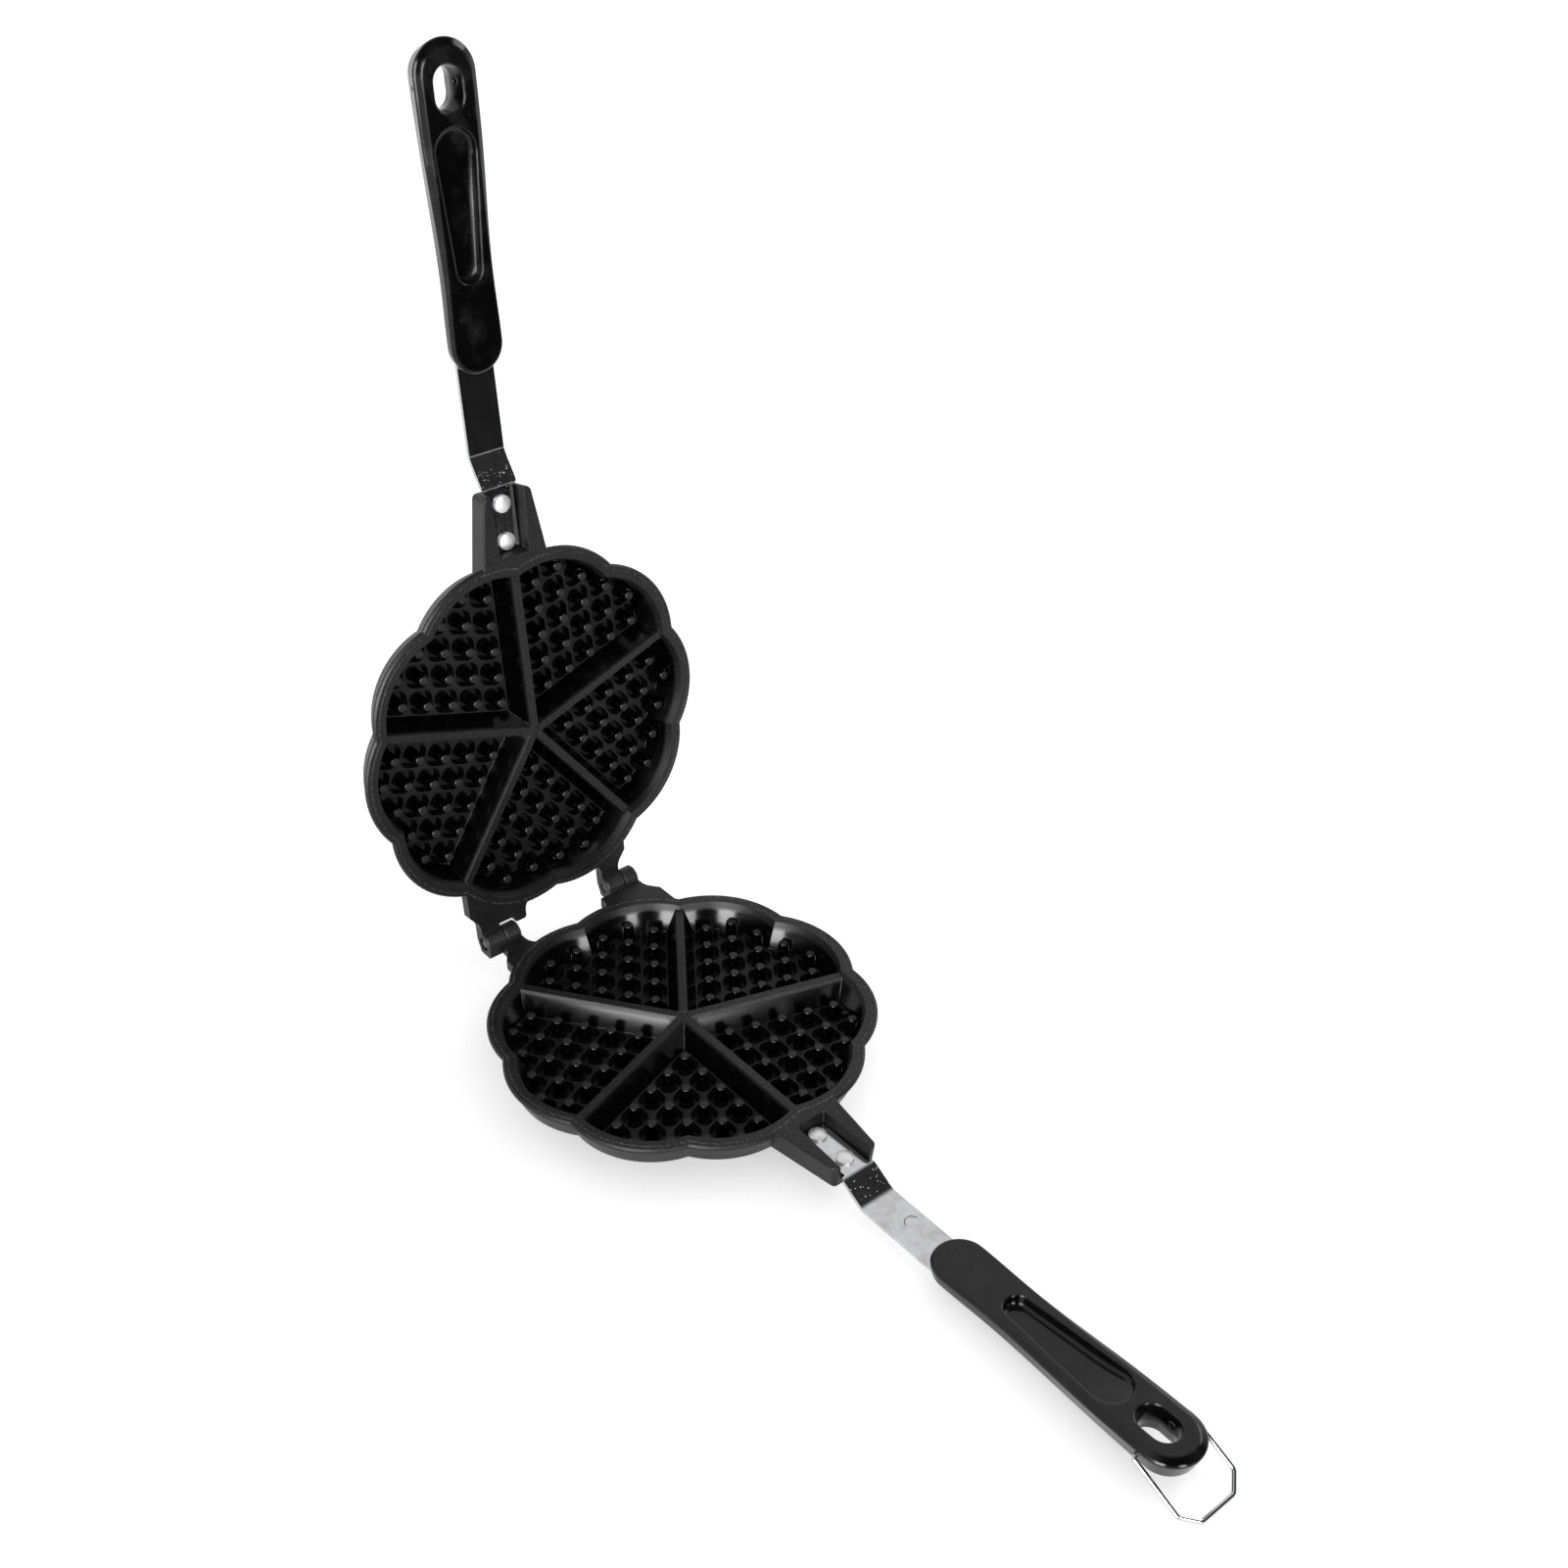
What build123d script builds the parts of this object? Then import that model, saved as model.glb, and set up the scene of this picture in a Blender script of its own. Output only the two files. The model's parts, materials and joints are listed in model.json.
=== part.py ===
from build123d import *
import math
import os

# A stovetop waffle iron. Two round cast halves are hinged at the back, and each has a bent steel strap
# with a moulded grip at the front. A wire loop on the lower grip holds the iron shut.
# Millimetres, +Z up. The origin is the centre of the lower plate's flat underside, where it stands on
# the hob, and +X points to the lower grip. Every piece is drawn on the closed iron, with z = 0 in the
# mating plane, and is then moved to where it is while the iron stands open.
# "depth" is a distance away from the mating plane, into either half.

# Overall sizes
plate_height = 24.0          # mating plane to the flat underside
cavity_radius = 85.9         # to the crown of a lobe
valley_depth = 4.9           # how far the outline comes in between two lobes
lobe_count = 10
heart_count = 5
open_angle = 95.0            # the upper half stands open at this angle
half_gap = 0.15              # each casting stops this short of the mating plane

# Rim and outer wall of a casting: the offset is measured outwards from the cavity outline
rim_width = 5.0
rim_chamfer = 0.8
rim_lip_depth = 2.0
rim_lip_step = 0.5
wall_bend_offset = 1.0        # the wall stands steeply down to here, then slopes in to the base
wall_bend_depth = 12.0
base_offset = -11.0
base_radius = 70.0           # flat face that lies on the hob
base_step = 0.6
groove_offset = 3.4
groove_width = 0.6
groove_depth = 0.35

# Inside of a casting
rib_top_depth = 2.2
rib_top_half_width = 1.85
draft_angle = 23.8
land_depth = 13.4
pit_floor_depth = 18.0
peg_top_depth = 6.76
peg_pitch = 13.35
first_peg_radius = 22.36
peg_top_radius = 2.3
peg_draft = 6.0
peg_rows = 5
land_width = 0.9
pit_corner_radius = 4.2
pit_draft = 10.0
edge_round = 0.5
hub_mark_radius = 2.5
hub_mark_depth = 0.3

# Flange that takes the strap
flange_length = 41.0         # beyond the valley of the cavity outline
flange_root_half_width = 18.9
flange_end_half_width = 12.3
flange_thickness = 12.3
flange_draft = 6.0
flange_corner_radius = 3.5
flange_root_overlap = 3.0    # into the wall of the cavity
flange_edge_round = 0.8
seat_depth = 8.35
seat_length = 30.4
seat_start_half_width = 7.8
seat_end_half_width = 9.1
seat_draft = 6.0
seat_corner_radius = 1.2

# Hinge
hinge_reach = 20.2           # beyond the valley of the cavity outline
barrel_radius = 5.6
hinge_gap = 0.3
stop_gap = 0.15
heel_proud = 0.15
heel_drop = 6.0
heel_back = 3.5
heel_corner_radius = 1.5
web_root_inset = 15.0        # the webs reach this far inside the valley outline
web_flare = 5.0              # each side, inside the rim
web_flare_gap = 3.1          # straight part of a web, in front of the notch
web_flare_fill = 0.95        # most of a web's straight part that its round may take up
web_flare_reach = 3.0        # the flare reaches its full width this far outside the valley outline
web_flare_round = 8.0        # or less, where the straight part of a web is too short for it
pin_radius = 2.5
pin_running_clearance = 0.05
pin_end_inset = 0.5
pin_chamfer = 0.4
counterbore_radius = 3.4
counterbore_depth = 1.2
left_upper_knuckle = (-45.5, -35.3)
left_lower_knuckle = (-35.0, -26.8)
left_tab = (-26.5, -19.7)
left_web = (-38.5, -26.8)
right_upper_knuckle = (26.4, 36.5)
right_lower_knuckle = (36.8, 44.5)
right_web = (20.4, 44.5)
tab_end_gap = 4.2
tab_corner_radius = 1.5
knuckle_notch_gap = 2.0      # between a lower barrel and the web of the upper half

# Straps and rivets
strap_width = 18.0
strap_thickness = 2.0
tongue_width = 13.2
tongue_start_gap = 0.2       # from the foot of the seat's drafted end
shoulder_gap = 0.4
strap_drop = 7.15
strap_bend_gap = 1.4         # from the end of the flange
strap_slope_run = 12.4
strap_bend_radii = (5.0, 8.0)
strap_corner_radius = 1.5
tang_length = 45.0
rivet_radius = 2.5
rivet_head_radius = 4.1
rivet_rim_height = 1.1
rivet_head_height = 1.9
rivet_offsets = {"inner": 25.3, "outer": 7.3}    # back from the end of the flange

# Grips
# A station is a distance along the grip from its start. A pair of depths is at the start and at the tip.
grip_start_gap = 51.9        # from the end of the flange to the grip
grip_length = 138.0
grip_face_depths = (8.5, 4.7)
grip_crease_depths = (9.7, 6.5)
grip_start_half_width = 12.7
grip_waist_half_width = 12.0
grip_waist_station = 38.0
grip_belly_half_width = 14.3
grip_belly_station = 92.0
grip_tip_half_width = 14.7
face_insets = (0.9, 3.4)     # the face is smaller than the crease, at the start and at the tip
back_insets = (2.2, 5.6)     # and so is the back
grip_back_depth_at_start = 17.6
grip_back_depth_at_arch = 18.3
grip_back_depth = 20.0       # at its deepest, where the back turns up to the tip
grip_arch_station = 66.0
grip_arch_radius = 600.0
grip_back_radius = 5.5
grip_tip_slope_run = 16.0
grip_tip_slope_drop = 3.4
grip_tip_round = 40.0
grip_crease_round = 1.2
grip_face_round = 0.6
strap_slot_clearance = 0.1
thumb_narrow_radius = 6.2
thumb_narrow_station = 45.3
thumb_wide_radius = 9.6
thumb_wide_station = 93.6
thumb_depth = 4.5
thumb_scoop_run = 26.0
thumb_scoop_rise = 3.2
thumb_draft = 6.0
thumb_floor_round = 1.5
hang_hole_from_tip = 20.0
hang_hole_length = 16.6
hang_hole_width = 10.8
hang_mouth_depth = 6.5
hang_mouth_draft = 12.0
screw_station = 24.0
screw_radius = 2.0
screw_head_radius = 3.9
screw_clearance = 0.2
screw_head_inset = 0.3
screw_tip_depth = 2.4         # past the middle of the tang, towards the face
screw_slot_width = 1.0
screw_slot_depth = 1.0

# Latch wire
wire_diameter = 2.0
wire_running_clearance = 0.06
wire_pivot_from_tip = 18.3
wire_pivot_depth = 10.0
wire_side_gap = 0.3
wire_end_half_gap = 7.2       # the two ends stop this far from the middle, inside the grip's walls
wire_leg_length = 25.6
wire_reach = 32.0
wire_bar_half_length = 9.2
wire_bend_radius = 1.4
wire_corner_radius = 3.0
wire_hob_gap = 0.1           # under the end bar, where it hangs

# Worked out from the sizes above
valley_radius = cavity_radius - valley_depth
lobe_half_angle = 180 / lobe_count
lobe_centre = (cavity_radius**2 - valley_radius**2) / (
    2 * (cavity_radius - valley_radius * math.cos(math.radians(lobe_half_angle))))
lobe_radius = cavity_radius - lobe_centre
heart_half_angle = 180 / heart_count
wall_slope = math.tan(math.radians(draft_angle))
flange_end = valley_radius + flange_length
seat_start = flange_end - seat_length
hinge_x = -(valley_radius + hinge_reach)
web_end = hinge_x + barrel_radius + heel_proud + stop_gap
knuckle_notch = barrel_radius + knuckle_notch_gap
strap_start = seat_start + seat_depth * math.tan(math.radians(seat_draft)) + tongue_start_gap
strap_seat_depth = seat_depth - strap_thickness / 2
tang_depth = strap_seat_depth + strap_drop
grip_start = flange_end + grip_start_gap
grip_tip = grip_start + grip_length
tang_end = grip_start + tang_length
screw_x = grip_start + screw_station
screw_mouth_depth = grip_back_depth_at_start + (
    grip_back_depth_at_arch - grip_back_depth_at_start) * screw_station / grip_arch_station
rivet_places = {name: flange_end - offset for name, offset in rivet_offsets.items()}
hang_hole_x = grip_tip - hang_hole_from_tip
wire_pivot_x = grip_tip - wire_pivot_from_tip
wire_radius = wire_diameter / 2
wire_half_width = grip_tip_half_width + wire_side_gap + wire_radius
wire_hang_angle = math.degrees(
    math.asin((plate_height - wire_pivot_depth - wire_radius - wire_hob_gap) / wire_reach))


def lobed_solid(profile):
    """A solid whose outline is the cavity outline, moved out by an offset that changes with depth."""
    turned = [(0, -profile[0][1])]
    for offset, depth in profile:
        turned.append((lobe_radius + offset, -depth))
    turned.append((0, -profile[-1][1]))
    lobe = revolve(Plane.XZ * make_face(Polyline(*turned, close=True)), Axis.Z)
    top = profile[0][1]
    height = profile[-1][1] - top
    core = Pos(0, 0, -top) * Cylinder(lobe_centre, height, align=(Align.CENTER, Align.CENTER, Align.MAX))
    lobes = PolarLocations(lobe_centre, lobe_count, start_angle=lobe_half_angle) * lobe
    return core + lobes


def lobed_face(offset):
    """The cavity outline moved out by an offset, as a flat face in the mating plane."""
    radius = lobe_radius + offset
    half_chord = lobe_centre * math.sin(math.radians(lobe_half_angle))
    valley = lobe_centre * math.cos(math.radians(lobe_half_angle)) + math.sqrt(radius**2 - half_chord**2)
    arcs = []
    for lobe in range(lobe_count):
        start = 2 * lobe * lobe_half_angle
        first = Vector(valley, 0).rotate(Axis.Z, start)
        crown = Vector(lobe_centre + radius, 0).rotate(Axis.Z, start + lobe_half_angle)
        last = Vector(valley, 0).rotate(Axis.Z, start + 2 * lobe_half_angle)
        arcs.append(ThreePointArc(first, crown, last))
    return make_face(arcs)


def casting_outside():
    """Rim, outer wall, base and flange of one casting."""
    rim = [
        (rim_width, half_gap),
        (rim_width + rim_chamfer, half_gap + rim_chamfer),
        (rim_width + rim_chamfer, rim_lip_depth),
        (rim_width, rim_lip_depth + rim_lip_step),
        (wall_bend_offset, wall_bend_depth),
        (base_offset, plate_height - base_step),
    ]
    outside = lobed_solid(rim)
    outside += Pos(0, 0, -plate_height) * Cylinder(
        base_radius, plate_height - wall_bend_depth, align=(Align.CENTER, Align.CENTER, Align.MIN))
    groove = lobed_face(groove_offset + groove_width / 2) - lobed_face(groove_offset - groove_width / 2)
    outside -= extrude(Pos(0, 0, -half_gap - groove_depth) * groove, 2 * groove_depth)
    return outside + flange()


def flange():
    """Tapering block at the front, with the seat for the strap still to be cut."""
    root = valley_radius - flange_root_overlap
    outline = Polygon(
        (root, -flange_root_half_width), (flange_end, -flange_end_half_width),
        (flange_end, flange_end_half_width), (root, flange_root_half_width), align=None)
    outline = fillet(outline.vertices().group_by(Axis.X)[-1], flange_corner_radius)
    block = extrude(Pos(0, 0, -half_gap) * outline, half_gap - flange_thickness, taper=flange_draft)
    edges = block.edges().group_by(Axis.Z)[0] + block.edges().group_by(Axis.Z)[-1]
    edges = edges.filter_by(lambda edge: edge.center().X > valley_radius)
    return fillet(edges, flange_edge_round)


def strap_seat():
    """The slot in the flange, open to the front."""
    past_end = flange_end + flange_corner_radius
    outline = Polygon(
        (seat_start, -seat_start_half_width), (past_end, -seat_end_half_width),
        (past_end, seat_end_half_width), (seat_start, seat_start_half_width), align=None)
    outline = fillet(outline.vertices().group_by(Axis.X)[0], seat_corner_radius)
    return extrude(outline, -seat_depth, taper=seat_draft)


def rib_wedge():
    """The sector between two ribs, with drafted flanks, from the mating plane to the pit floors."""
    along = [Vector(1, 0).rotate(Axis.Z, side * heart_half_angle) for side in (-1, 1)]
    sections = []
    for depth in (0, pit_floor_depth):
        lateral = rib_top_half_width + (depth - rib_top_depth) * wall_slope
        apex = Vector(lateral / math.sin(math.radians(heart_half_angle)), 0)
        corners = [apex, apex + along[0] * 2 * cavity_radius, apex + along[1] * 2 * cavity_radius]
        sections.append(Pos(0, 0, -depth) * make_face(Polyline(*corners, close=True)))
    return loft(sections, ruled=True)


def peg_places():
    """Where the pegs of a heart stand: rows along both of its ribs, as far as the wall."""
    first, second = [Vector(peg_pitch, 0).rotate(Axis.Z, side * heart_half_angle) for side in (-1, 1)]
    places = []
    for i in range(peg_rows):
        for j in range(peg_rows):
            if i + j <= peg_rows and not (i + j == peg_rows and 0 in (i, j)):
                places.append(Vector(first_peg_radius, 0) + first * i + second * j)
    return places


def pit():
    """A rounded rhombic pit around one peg, centred on it, with its mouth at z = 0."""
    side = peg_pitch - land_width / math.sin(math.radians(2 * heart_half_angle))
    first, second = [Vector(side / 2, 0).rotate(Axis.Z, turn * heart_half_angle) for turn in (-1, 1)]
    corners = [first + second, second - first, Vector(0, 0) - first - second, first - second]
    outline = make_face(Polyline(*corners, close=True))
    outline = fillet(outline.vertices(), pit_corner_radius)
    return extrude(outline, -(pit_floor_depth - land_depth), taper=pit_draft)


def peg():
    """A drafted peg with a rounded top, standing on the pit floor."""
    height = pit_floor_depth - peg_top_depth
    foot_radius = peg_top_radius + height * math.tan(math.radians(peg_draft))
    shape = Cone(foot_radius, peg_top_radius, height, align=(Align.CENTER, Align.CENTER, Align.MIN))
    shape = fillet(shape.edges().group_by(Axis.Z)[-1], 2 * edge_round)
    return Pos(0, 0, -pit_floor_depth) * shape


def heart():
    """The space of one heart, which is cut out of a casting. It points to the centre along +X."""
    inner = lobed_solid([(0, 0), (-pit_floor_depth * wall_slope, pit_floor_depth)])
    sector = Rot(0, 0, heart_half_angle) * inner & rib_wedge()
    floor = Pos(0, 0, -land_depth) * Box(
        4 * cavity_radius, 4 * cavity_radius, plate_height, align=(Align.CENTER, Align.CENTER, Align.MAX))
    upper = sector - floor
    pits = Part()
    pegs = Part()
    for place in peg_places():
        pits += Pos(place.X, place.Y, -land_depth) * pit()
        pegs += Pos(place.X, place.Y, 0) * peg()
    return upper + (sector & pits) - pegs


def casting_inside():
    """Everything that is cut out of a casting from its mating side."""
    bowl = lobed_solid([(0, 0), (-rib_top_depth * wall_slope, rib_top_depth)])
    space = bowl + strap_seat()
    hearts = PolarLocations(0, heart_count, start_angle=heart_half_angle) * heart()
    mark = Pos(0, 0, -rib_top_depth) * Cylinder(
        hub_mark_radius, hub_mark_depth, align=(Align.CENTER, Align.CENTER, Align.MAX))
    return space + hearts + mark


def opened(shape):
    """Turn a piece of the upper half from the closed iron to where it stands open."""
    return shape.rotate(Axis((hinge_x, 0, 0), (0, 1, 0)), -open_angle)


def cylinder_on_hinge(span, radius):
    """A cylinder on the hinge axis over a span of Y."""
    return Pos(hinge_x, (span[0] + span[1]) / 2, 0) * Rot(90, 0, 0) * Cylinder(radius, span[1] - span[0])


def knuckle(span):
    """A barrel on the hinge axis with its two end edges broken."""
    barrel = cylinder_on_hinge(span, barrel_radius)
    return chamfer(barrel.edges().filter_by(GeomType.CIRCLE), edge_round)


def web(span, end, side):
    """A block from the wall of a casting back to x = end. Side is -1 on the lower half, 1 on the upper."""
    root = web_root_inset - valley_radius
    flare_end = -valley_radius - web_flare_reach
    flare_start = hinge_x + knuckle_notch + web_flare_gap
    flare_turn = math.atan2(web_flare, flare_end - flare_start)
    longest_round = web_flare_fill * web_flare_gap / math.tan(flare_turn / 2)
    right = [
        (end, span[1]), (flare_start, span[1]), (flare_end, span[1] + web_flare), (root, span[1] + web_flare)]
    left = [
        (root, span[0] - web_flare), (flare_end, span[0] - web_flare), (flare_start, span[0]), (end, span[0])]
    outline = make_face(Polyline(*right, *left, close=True))
    necks = outline.vertices().filter_by_position(Axis.X, flare_start - edge_round, flare_start + edge_round)
    outline = fillet(necks, min(web_flare_round, longest_round))
    return extrude(Pos(0, 0, side * half_gap) * outline, side * (barrel_radius - half_gap))


def heel(span):
    """The stop under an upper knuckle, which meets the lower web when the upper half stands open."""
    front = barrel_radius + heel_proud
    block = Box(front + heel_back, span[1] - span[0], heel_drop, align=(Align.MAX, Align.CENTER, Align.MAX))
    block = fillet(block.edges().filter_by(Axis.Y).group_by(Axis.Z)[0], heel_corner_radius)
    block = Pos(hinge_x + front, (span[0] + span[1]) / 2, 0) * block
    return block.rotate(Axis((hinge_x, 0, 0), (0, 1, 0)), open_angle)


def lower_hinge():
    """Webs and knuckles of the lower casting."""
    shape = web(left_web, web_end, -1) + web(right_web, web_end, -1)
    for span in (left_lower_knuckle, right_lower_knuckle):
        shape += web(span, hinge_x, -1) + knuckle(span)
    for span in (left_lower_knuckle, right_lower_knuckle):
        shape -= cylinder_on_hinge(span, pin_radius + pin_running_clearance)
    return shape


def upper_hinge():
    """Webs, knuckles, stops and the locating tab of the upper casting."""
    left_lug = (left_upper_knuckle[0], left_tab[1])
    tab = web(left_tab, hinge_x + tab_end_gap, 1)
    tab = fillet(tab.edges().filter_by(Axis.Z).group_by(Axis.X)[0], tab_corner_radius)
    shape = tab + web(left_lug, hinge_x + knuckle_notch, 1)
    for span in (left_upper_knuckle, right_upper_knuckle):
        shape += web(span, hinge_x, 1) + knuckle(span) + heel(span)
    for span in (left_upper_knuckle, right_upper_knuckle):
        shape -= cylinder_on_hinge(span, pin_radius)
    outer_face = left_upper_knuckle[0]
    return shape - cylinder_on_hinge((outer_face, outer_face + counterbore_depth), counterbore_radius)


def rivet_hole(x):
    """What a rivet's shank takes out of the strap and the flange."""
    return Pos(x, 0, 0) * Cylinder(rivet_radius, 2 * plate_height)


def castings():
    """The lower casting, and the upper one where it lies on the closed iron."""
    outside = casting_outside()
    inside = casting_inside()
    for x in rivet_places.values():
        inside += rivet_hole(x)
    flip = Rot(180, 0, 0)
    lower = outside + lower_hinge() - inside
    upper = flip * outside + upper_hinge() - flip * inside
    return lower, upper


def hinge_pin(span):
    """A plain steel pin with broken ends."""
    pin = cylinder_on_hinge(span, pin_radius)
    return chamfer(pin.edges().filter_by(GeomType.CIRCLE), pin_chamfer)


def strap():
    """The steel strap: a tongue in the seat, shoulders, a slope, and a tang inside the grip."""
    bend_x = flange_end + strap_bend_gap
    line = FilletPolyline(
        (strap_start, -strap_seat_depth), (bend_x, -strap_seat_depth),
        (bend_x + strap_slope_run, -tang_depth), (tang_end, -tang_depth), radius=strap_bend_radii)
    bar = extrude(Plane.XZ * trace(line, strap_thickness), strap_width, both=True)
    shoulder_x = flange_end + shoulder_gap
    tongue = Pos((strap_start + shoulder_x) / 2, 0) * Rectangle(shoulder_x - strap_start, tongue_width)
    tongue = fillet(tongue.vertices().group_by(Axis.X)[0], strap_corner_radius)
    wide = Pos((shoulder_x + tang_end) / 2, 0) * Rectangle(tang_end - shoulder_x, strap_width)
    wide = fillet(wide.vertices(), strap_corner_radius)
    shape = bar & extrude(tongue + wide, 2 * plate_height, both=True)
    for x in rivet_places.values():
        shape -= rivet_hole(x)
    return shape - Pos(screw_x, 0, -tang_depth) * Cylinder(screw_radius, 2 * strap_thickness)


def rivet(x):
    """A rivet with a domed head on the strap and the same head on the back of the flange."""
    seat = strap_thickness / 2 - strap_seat_depth
    shank = Pos(x, 0, seat) * Cylinder(
        rivet_radius, flange_thickness + seat, align=(Align.CENTER, Align.CENTER, Align.MAX))
    back = Pos(x, 0, -flange_thickness) * Rot(180, 0, 0) * rivet_head()
    return shank + Pos(x, 0, seat) * rivet_head() + back


def rivet_head():
    """A short round rim with a dome on it, standing on z = 0."""
    rim = Cylinder(rivet_head_radius, rivet_rim_height, align=(Align.CENTER, Align.CENTER, Align.MIN))
    rise = rivet_head_height - rivet_rim_height
    sphere_radius = (rivet_head_radius**2 + rise**2) / (2 * rise)
    dome = Pos(0, 0, rivet_head_height - sphere_radius) * Sphere(sphere_radius)
    return rim + (dome & Pos(0, 0, rivet_rim_height) * Cylinder(
        rivet_head_radius, rivet_head_height, align=(Align.CENTER, Align.CENTER, Align.MIN)))


def grip_plane(depths):
    """A plane along the grip between two depths, with its origin at the grip's start."""
    rise = depths[0] - depths[1]
    return Plane((grip_start, 0, -depths[0]), x_dir=(grip_length, 0, rise), z_dir=(-rise, 0, grip_length))


def grip_outline(insets):
    """The grip seen on its face, from its start at x = 0, drawn smaller by an inset at each end."""
    start_inset, tip_inset = insets
    start_radius = grip_start_half_width - start_inset
    waist = grip_waist_half_width - start_inset
    belly = grip_belly_half_width - tip_inset
    tip_radius = grip_tip_half_width - tip_inset
    shoulder_x = start_inset + start_radius
    tip_x = grip_length - tip_inset
    edges = [
        ThreePointArc((shoulder_x, start_radius), (start_inset, 0), (shoulder_x, -start_radius)),
        ThreePointArc((tip_x - tip_radius, tip_radius), (tip_x, 0), (tip_x - tip_radius, -tip_radius)),
    ]
    for side in (1, -1):
        points = [
            (shoulder_x, side * start_radius),
            (grip_waist_station, side * waist),
            (grip_belly_station, side * belly),
            (tip_x - tip_radius, side * tip_radius),
        ]
        edges.append(Spline(*points, tangents=[(1, 0), (1, 0)]))
    return make_face(edges)


def grip_blank():
    """The grip without its recess and holes: a wide bevel round the face, and a narrower, rounded back."""
    face_plane = grip_plane(grip_face_depths)
    crease_plane = grip_plane(grip_crease_depths)
    back_plane = grip_plane((plate_height, plate_height))
    crease = crease_plane * grip_outline((0, 0))
    bevel = loft([face_plane * grip_outline(face_insets), crease], ruled=True)
    blank = bevel + loft([crease, back_plane * grip_outline(back_insets)], ruled=True)
    past_tip = grip_tip + grip_tip_slope_run
    back = FilletPolyline(
        (grip_start, -grip_back_depth_at_start), (grip_start + grip_arch_station, -grip_back_depth_at_arch),
        (grip_tip - grip_tip_slope_run, -grip_back_depth),
        (past_tip, 2 * grip_tip_slope_drop - grip_back_depth),
        radius=(grip_arch_radius, grip_tip_round))
    ends = Polyline(back @ 1, (past_tip, 0), (grip_start, 0), back @ 0)
    blank = blank & extrude(Plane.XZ * make_face([back, ends]), plate_height, both=True)
    side_edges = blank.edges().filter_by(lambda edge: abs(edge.center().Y) > 1)
    blank = fillet(side_edges.group_by(Axis.Z)[0], grip_back_radius)
    for plane, radius in ((crease_plane, grip_crease_round), (face_plane, grip_face_round)):
        up = Axis(plane.origin, plane.z_dir)
        blank = fillet(blank.edges().filter_by_position(up, -0.01, 0.01), radius)
    return blank


def thumb_recess():
    """The hollow in the face of the grip, with a floor that rises towards the hang hole."""
    sections = []
    for depth in (0, thumb_depth):
        inset = depth * math.tan(math.radians(thumb_draft))
        narrow = Pos(thumb_narrow_station, 0) * Circle(thumb_narrow_radius - inset)
        wide = Pos(thumb_wide_station, 0) * Circle(thumb_wide_radius - inset)
        sections.append(Pos(0, 0, -depth) * make_hull((narrow + wide).edges()))
    hollow = loft(sections, ruled=True)
    wide_end = thumb_wide_station + thumb_wide_radius
    flat = Line((0, -thumb_depth), (wide_end - thumb_scoop_run, -thumb_depth))
    scoop = TangentArc(flat @ 1, (wide_end, thumb_scoop_rise - thumb_depth), tangent=(1, 0))
    above = Polyline(scoop @ 1, (wide_end, 0), (0, 0), flat @ 0)
    hollow = hollow & extrude(Plane.XZ * make_face([flat, scoop, above]), plate_height, both=True)
    hollow = fillet(hollow.faces().group_by(Axis.Z)[0].edges(), thumb_floor_round)
    return grip_plane(grip_face_depths) * hollow


def hang_hole():
    """The long hole near the tip, with a tapered mouth on the face and on the back."""
    flare = hang_mouth_depth * math.tan(math.radians(hang_mouth_draft))
    mouth = SlotOverall(hang_hole_length + 2 * flare, hang_hole_width + 2 * flare)
    hole = extrude(SlotOverall(hang_hole_length, hang_hole_width), -plate_height)
    hole += extrude(Pos(0, 0, -grip_back_depth) * mouth, hang_mouth_depth, taper=hang_mouth_draft)
    face_mouth = extrude(mouth, -hang_mouth_depth, taper=hang_mouth_draft)
    face_mouth = grip_plane(grip_face_depths) * Pos(grip_length - hang_hole_from_tip, 0, 0) * face_mouth
    return Pos(hang_hole_x, 0, 0) * hole + face_mouth


def grip_screw():
    """The slotted countersunk screw that goes through the back of the grip into the tang."""
    head = screw_head_inset - screw_mouth_depth
    neck = head + screw_head_radius - screw_radius
    tip = screw_tip_depth - tang_depth
    outline = Polyline(
        (0, head), (screw_head_radius, head), (screw_radius, neck), (screw_radius, tip - pin_chamfer),
        (screw_radius - pin_chamfer, tip), (0, tip), close=True)
    screw = revolve(Plane.XZ * make_face(outline), Axis.Z)
    slot = Pos(0, 0, head) * Box(3 * screw_head_radius, screw_slot_width, 2 * screw_slot_depth)
    return Pos(screw_x, 0, 0) * (screw - slot)


def screw_hole():
    """Clearance for the screw's shank, and the seat for its head, in the back of the grip."""
    mouth = -screw_mouth_depth
    seat_radius = screw_head_radius + screw_head_inset
    hole_radius = screw_radius + screw_clearance
    tip = screw_tip_depth + screw_clearance - tang_depth
    outline = Polyline(
        (0, mouth - edge_round), (seat_radius, mouth - edge_round), (seat_radius, mouth),
        (hole_radius, mouth + seat_radius - hole_radius), (hole_radius, tip), (0, tip), close=True)
    return Pos(screw_x, 0, 0) * revolve(Plane.XZ * make_face(outline), Axis.Z)


def grip():
    """The whole moulding, the same on both halves."""
    slot_length = tang_length + strap_slot_clearance
    slot = Pos(grip_start + slot_length, 0, -tang_depth) * Box(
        2 * slot_length, strap_width + 2 * strap_slot_clearance, strap_thickness + 2 * strap_slot_clearance,
        align=(Align.MAX, Align.CENTER, Align.CENTER))
    bore = Pos(wire_pivot_x, 0, -wire_pivot_depth) * Rot(90, 0, 0) * Cylinder(
        wire_radius + wire_running_clearance, 4 * grip_tip_half_width)
    return grip_blank() - thumb_recess() - hang_hole() - screw_hole() - slot - bore


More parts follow.
